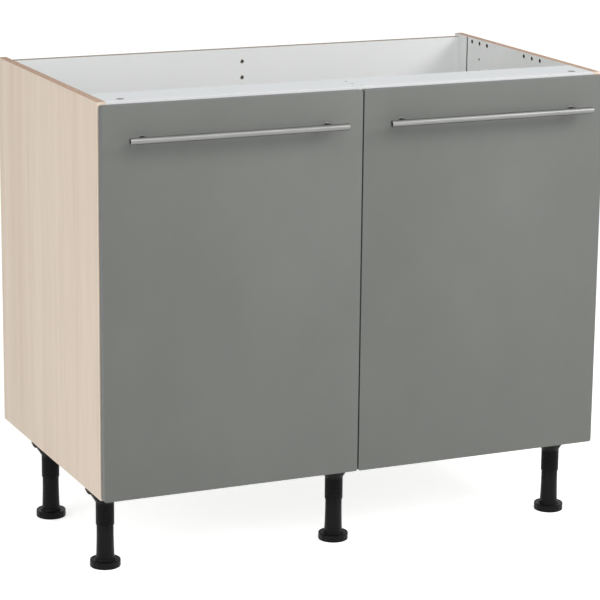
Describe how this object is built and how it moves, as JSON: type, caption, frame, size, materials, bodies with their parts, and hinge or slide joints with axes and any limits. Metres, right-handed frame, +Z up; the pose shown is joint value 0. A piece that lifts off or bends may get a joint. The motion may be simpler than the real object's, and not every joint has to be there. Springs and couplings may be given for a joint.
{
  "type": "kitchen sink unit",
  "caption": "Wide floor-standing sink base cabinet with an open top and back, two hinged doors with bar handles, and levelling legs.",
  "frame": {"origin": "on the floor, at the middle of the width and of the depth over the handles", "axes": "+X to the right seen from the front, +Y to the back, +Z up"},
  "size_m": [1, 0.6144, 0.87],
  "materials": {
    "side_board": "chipboard, wood-pattern melamine outside and white inside",
    "white_board": "chipboard, white melamine",
    "door_board": "chipboard, satin grey melamine",
    "door_band": "satin grey edge band",
    "white_band": "satin white edge band",
    "handle_steel": "brushed",
    "hinge_steel": "nickel plated",
    "cam_zinc": "die-cast zinc",
    "black_plastic": "moulded, slightly glossy"
  },
  "bodies": {
    "carcass": {"bottom_edge_band": "white_band", "bottom_panel": "white_board", "cam_housings": "cam_zinc", "front_rail_edge_band": "white_band", "front_top_rail": "white_board", "left_hinge_arms": "hinge_steel", "left_hinge_plates": "hinge_steel", "left_side_edge_band": "white_band", "left_side_panel": "side_board", "leg_sockets": "black_plastic", "rear_top_rail": "white_board", "right_hinge_arms": "hinge_steel", "right_hinge_plates": "hinge_steel", "right_side_edge_band": "white_band", "right_side_panel": "side_board"},
    "left_outer_links": {"left_outer_links": "hinge_steel"},
    "left_door": {"left_door_edge_band": "door_band", "left_door_panel": "door_board", "left_handle": "handle_steel", "left_hinge_cups": "hinge_steel"},
    "left_inner_links": {"left_inner_links": "hinge_steel"},
    "right_outer_links": {"right_outer_links": "hinge_steel"},
    "right_door": {"right_door_edge_band": "door_band", "right_door_panel": "door_board", "right_handle": "handle_steel", "right_hinge_cups": "hinge_steel"},
    "right_inner_links": {"right_inner_links": "hinge_steel"},
    "front_left_leg": {"front_left_leg_tube": "black_plastic", "front_left_leg_foot": "black_plastic"},
    "front_middle_leg": {"front_middle_leg_tube": "black_plastic", "front_middle_leg_foot": "black_plastic"},
    "front_right_leg": {"front_right_leg_tube": "black_plastic", "front_right_leg_foot": "black_plastic"},
    "rear_left_leg": {"rear_left_leg_tube": "black_plastic", "rear_left_leg_foot": "black_plastic"},
    "rear_right_leg": {"rear_right_leg_tube": "black_plastic", "rear_right_leg_foot": "black_plastic"}
  },
  "joints": [
    {"name": "left_door_outer_pivot", "type": "hinge", "parent": "carcass", "child": "left_outer_links", "pos_m": [-0.465, -0.24625, 0.51], "axis": [0, 0, -1], "range_deg": [-24.1, 0]},
    {"name": "left_door_cup_pivot", "type": "hinge", "parent": "left_outer_links", "child": "left_door", "pos_m": [-0.4892, -0.25915, 0.51], "axis": [0, 0, -1], "range_deg": [0, 124]},
    {"name": "left_door_inner_pivot", "type": "hinge", "parent": "carcass", "child": "left_inner_links", "pos_m": [-0.468, -0.26225, 0.51], "axis": [0, 0, -1], "range_deg": [-21.1, 0]},
    {"name": "right_door_outer_pivot", "type": "hinge", "parent": "carcass", "child": "right_outer_links", "pos_m": [0.465, -0.24625, 0.51], "axis": [0, 0, 1], "range_deg": [-24.1, 0]},
    {"name": "right_door_cup_pivot", "type": "hinge", "parent": "right_outer_links", "child": "right_door", "pos_m": [0.4892, -0.25915, 0.51], "axis": [0, 0, 1], "range_deg": [0, 124]},
    {"name": "right_door_inner_pivot", "type": "hinge", "parent": "carcass", "child": "right_inner_links", "pos_m": [0.468, -0.26225, 0.51], "axis": [0, 0, 1], "range_deg": [-21.1, 0]},
    {"name": "front_left_leg_height", "type": "slide", "parent": "carcass", "child": "front_left_leg", "axis": [0, 0, -1], "range_m": [0, 0.02]},
    {"name": "front_middle_leg_height", "type": "slide", "parent": "carcass", "child": "front_middle_leg", "axis": [0, 0, -1], "range_m": [0, 0.02]},
    {"name": "front_right_leg_height", "type": "slide", "parent": "carcass", "child": "front_right_leg", "axis": [0, 0, -1], "range_m": [0, 0.02]},
    {"name": "rear_left_leg_height", "type": "slide", "parent": "carcass", "child": "rear_left_leg", "axis": [0, 0, -1], "range_m": [0, 0.02]},
    {"name": "rear_right_leg_height", "type": "slide", "parent": "carcass", "child": "rear_right_leg", "axis": [0, 0, -1], "range_m": [0, 0.02]}
  ],
  "couplings": [
    {"joint": "left_door_outer_pivot", "follows": "left_door_cup_pivot", "ratio": -0.19355},
    {"joint": "left_door_inner_pivot", "follows": "left_door_cup_pivot", "ratio": -0.16935},
    {"joint": "right_door_outer_pivot", "follows": "right_door_cup_pivot", "ratio": -0.19355},
    {"joint": "right_door_inner_pivot", "follows": "right_door_cup_pivot", "ratio": -0.16935}
  ]
}
